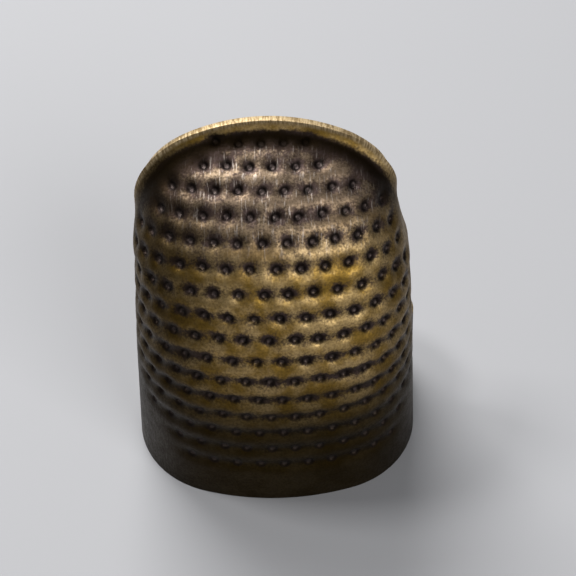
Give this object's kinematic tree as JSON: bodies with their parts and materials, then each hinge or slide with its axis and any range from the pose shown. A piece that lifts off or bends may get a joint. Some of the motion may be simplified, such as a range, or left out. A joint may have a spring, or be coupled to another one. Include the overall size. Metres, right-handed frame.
{
  "type": "thimble",
  "caption": "Open-sided fingertip thimble in aged brass, with a dimpled front shield, a raised lip round the tip and an adjustable open band.",
  "frame": {"origin": "on the plane of the rim, in the middle of the whole band from side to side and from front to back", "axes": "+Z along the finger towards the tip, -Y out of the dimpled front wall, +X to the right seen from the front"},
  "size_m": [0.018, 0.0154, 0.0239],
  "materials": {
    "aged_brass": "brushed, darkened in the dimples and worn bright on the lip"
  },
  "bodies": {
    "shield": {"front_shield": "aged_brass"},
    "right_side": {"right_band_side": "aged_brass"},
    "right_end": {"right_band_end": "aged_brass"},
    "left_side": {"left_band_side": "aged_brass"},
    "left_end": {"left_band_end": "aged_brass"}
  },
  "joints": [
    {"name": "right_side_flex", "type": "hinge", "parent": "shield", "child": "right_side", "pos_m": [0.00875, 0.00103, 0.00345], "axis": [0, 0, -1], "range_deg": [-4, 8]},
    {"name": "right_end_flex", "type": "hinge", "parent": "right_side", "child": "right_end", "pos_m": [0.00699, 0.00564, 0.00345], "axis": [0, 0, -1], "range_deg": [-3, 6]},
    {"name": "left_side_flex", "type": "hinge", "parent": "shield", "child": "left_side", "pos_m": [-0.00875, 0.00103, 0.00345], "axis": [0, 0, 1], "range_deg": [-4, 8]},
    {"name": "left_end_flex", "type": "hinge", "parent": "left_side", "child": "left_end", "pos_m": [-0.00699, 0.00564, 0.00345], "axis": [0, 0, 1], "range_deg": [-3, 6]}
  ]
}
